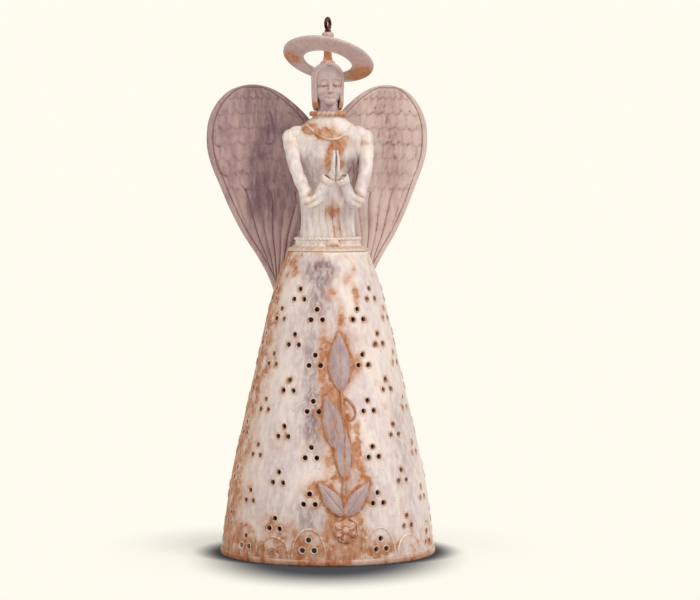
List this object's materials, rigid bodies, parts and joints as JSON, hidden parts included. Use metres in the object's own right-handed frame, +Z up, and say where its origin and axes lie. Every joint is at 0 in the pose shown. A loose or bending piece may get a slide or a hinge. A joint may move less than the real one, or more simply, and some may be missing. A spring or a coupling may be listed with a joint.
{
  "type": "angel bell ornament",
  "caption": "Sheet-metal angel whose pierced conical skirt is a bell, with a swinging clapper, swept-back wings, a tilted halo and a swivelling hanger eye.",
  "frame": {"origin": "centre of the rim's foot plane, on the bell's axis", "axes": "+Z up along the bell's axis, the angel faces -Y, +X is the angel's left"},
  "size_m": [0.0536, 0.0508, 0.1258],
  "materials": {
    "cream_paint": "cream paint, rubbed with a brown wash",
    "worn_paint": "worn cream paint over orange-brown wash",
    "grey_paint": "mauve-grey paint, lightly mottled",
    "rust_paint": "rust-brown wash over cream",
    "dark_wire": "blackened wire",
    "bare_steel": "dull"
  },
  "bodies": {
    "figure": {"hem_ring": "rust_paint", "skirt_shell": "cream_paint", "crown_plate": "worn_paint", "vine_relief": "worn_paint", "front_rosette": "worn_paint", "waist_band": "cream_paint", "bodice_front": "cream_paint", "bodice_back": "cream_paint", "neck_collar": "worn_paint", "head": "cream_paint", "arm_left": "cream_paint", "arm_right": "cream_paint", "hand_left": "cream_paint", "hand_right": "cream_paint", "wing_left": "grey_paint", "wing_right": "grey_paint", "wing_bracket": "worn_paint", "wing_rivet_left_lower": "bare_steel", "wing_rivet_left_upper": "bare_steel", "wing_rivet_right_lower": "bare_steel", "wing_rivet_right_upper": "bare_steel", "halo_ring": "grey_paint", "halo_clip": "worn_paint", "crown_post": "rust_paint", "crown_bead": "grey_paint"},
    "hanger": {"hanger_wire": "dark_wire", "hanger_washer": "bare_steel"},
    "clapper": {"clapper_wire": "dark_wire", "clapper_ball": "bare_steel", "clapper_tip": "bare_steel"}
  },
  "joints": [
    {"name": "hanger_swivel", "type": "hinge", "parent": "figure", "child": "hanger", "pos_m": [0, 0, 0.071], "axis": [0, 0, 1], "continuous": true},
    {"name": "clapper_swing", "type": "hinge", "parent": "hanger", "child": "clapper", "pos_m": [0, 0, 0.0653], "axis": [1, 0, 0], "range_deg": [-19, 19]}
  ]
}
